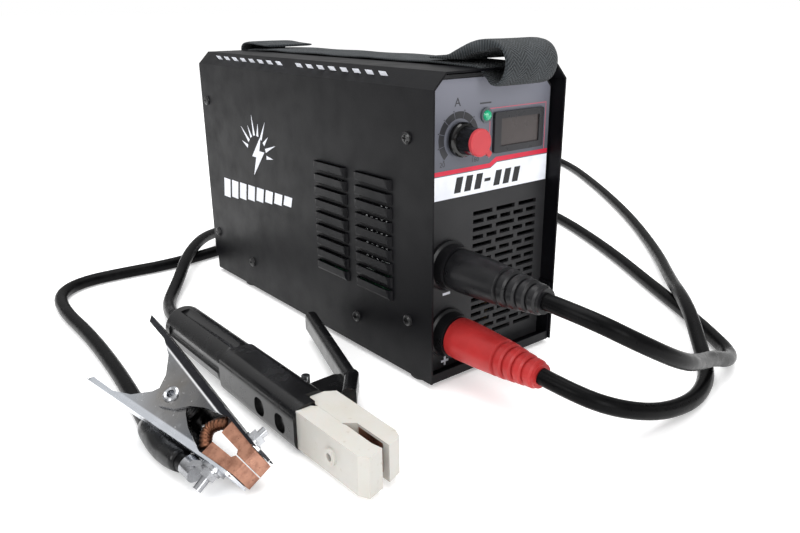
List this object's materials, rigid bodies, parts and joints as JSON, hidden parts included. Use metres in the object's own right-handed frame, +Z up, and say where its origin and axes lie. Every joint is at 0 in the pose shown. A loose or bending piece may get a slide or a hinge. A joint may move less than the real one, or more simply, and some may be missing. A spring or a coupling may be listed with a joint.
{
  "type": "stick welding inverter",
  "caption": "Portable box-shaped welding power source with display, current knob, twist-lock output sockets, two leads, earth clamp, electrode holder and a webbing strap.",
  "frame": {"origin": "on the floor, below the middle of the case", "axes": "+X to the right seen from the front, +Y to the rear, +Z up; the front panel faces -Y"},
  "size_m": [0.8109, 0.6414, 0.2093],
  "materials": {
    "cover_paint": "satin black powder coat",
    "panel_plastic": "fine-textured dark plastic",
    "label_print": "printed overlay",
    "bezel_plastic": "smooth dark plastic",
    "window_plastic": "tinted window",
    "lamp_green": "green lens",
    "knob_black": "gloss black",
    "knob_coral": "coral cap",
    "switch_black": "gloss black",
    "zinc_steel": "bright zinc plated",
    "screw_black": "black oxide",
    "copper": "copper",
    "brass": "brass",
    "aluminium": "extruded",
    "board_green": "circuit board",
    "capacitor_sleeve": "sleeved can",
    "ferrite": "ferrite",
    "rubber_black": "matt black",
    "rubber_red": "matt red",
    "cable_rubber": "smooth black sheath",
    "webbing": "woven grey webbing",
    "holder_black": "satin black moulding",
    "jaw_ivory": "off-white heat-proof moulding",
    "fan_black": "black"
  },
  "bodies": {
    "machine": {"base_tray": "cover_paint", "board_pillars": "aluminium", "bulk_capacitors": "capacitor_sleeve", "cable_gland": "fan_black", "cable_lug": "zinc_steel", "case_cover": "cover_paint", "case_screws": "screw_black", "clamp_bolt_fixed": "zinc_steel", "clamp_braid": "copper", "clamp_jaw_fixed": "zinc_steel", "clamp_pad_fixed": "copper", "clamp_rivet": "zinc_steel", "clamp_spring": "zinc_steel", "control_board": "board_green", "display_bezel": "bezel_plastic", "display_window": "window_plastic", "fan_frame": "fan_black", "fan_guard": "zinc_steel", "front_label": "label_print", "front_panel": "panel_plastic", "gland_locknut": "fan_black", "heatsinks": "aluminium", "holder_copper_fixed": "copper", "holder_grip": "holder_black", "holder_housing": "holder_black", "holder_jaw_fixed": "jaw_ivory", "holder_pin": "zinc_steel", "holder_spring": "zinc_steel", "lamp_bezel": "bezel_plastic", "lamp_lens": "lamp_green", "lead_negative": "cable_rubber", "lead_positive": "cable_rubber", "main_board": "board_green", "output_bars": "copper", "output_choke": "copper", "output_sockets": "fan_black", "plug_negative": "rubber_black", "plug_pins": "brass", "plug_positive": "rubber_red", "potentiometer": "aluminium", "power_transistors": "capacitor_sleeve", "rear_panel": "cover_paint", "rubber_feet": "rubber_black", "socket_contacts": "brass", "socket_nuts": "brass", "strap": "webbing", "switch_body": "switch_black", "transformer_core": "ferrite", "transformer_winding": "copper"},
    "knob": {"knob_body": "knob_black", "knob_cap": "knob_coral", "knob_shaft": "brass"},
    "rocker": {"switch_rocker": "switch_black"},
    "fan": {"fan_rotor": "fan_black"},
    "holder_lever": {"holder_lever": "holder_black", "holder_jaw_moving": "jaw_ivory", "holder_copper_moving": "copper"},
    "clamp_moving": {"clamp_jaw_moving": "zinc_steel", "clamp_pad_moving": "copper", "clamp_bolt_moving": "zinc_steel"}
  },
  "joints": [
    {"name": "knob_turn", "type": "hinge", "parent": "machine", "child": "knob", "pos_m": [-0.0265, -0.15, 0.1527], "axis": [0, -1, 0], "range_deg": [0, 270]},
    {"name": "rocker_tilt", "type": "hinge", "parent": "machine", "child": "rocker", "pos_m": [-0.027, 0.138, 0.15], "axis": [-1, 0, 0], "range_deg": [0, 14]},
    {"name": "fan_spin", "type": "hinge", "parent": "machine", "child": "fan", "pos_m": [0, 0.12, 0.06], "axis": [0, 1, 0], "continuous": true},
    {"name": "holder_squeeze", "type": "hinge", "parent": "machine", "child": "holder_lever", "pos_m": [-0.1335, -0.129, 0.015], "axis": [0, 0, 1], "range_deg": [0, 18], "stiffness_Nm_per_rad": 1.5, "springref_deg": -34.38},
    {"name": "clamp_squeeze", "type": "hinge", "parent": "machine", "child": "clamp_moving", "pos_m": [-0.2024, -0.116, 0.0283], "axis": [-0.5159, -0.2428, 0.8215], "range_deg": [0, 30], "stiffness_Nm_per_rad": 1.2, "springref_deg": -45.84}
  ]
}
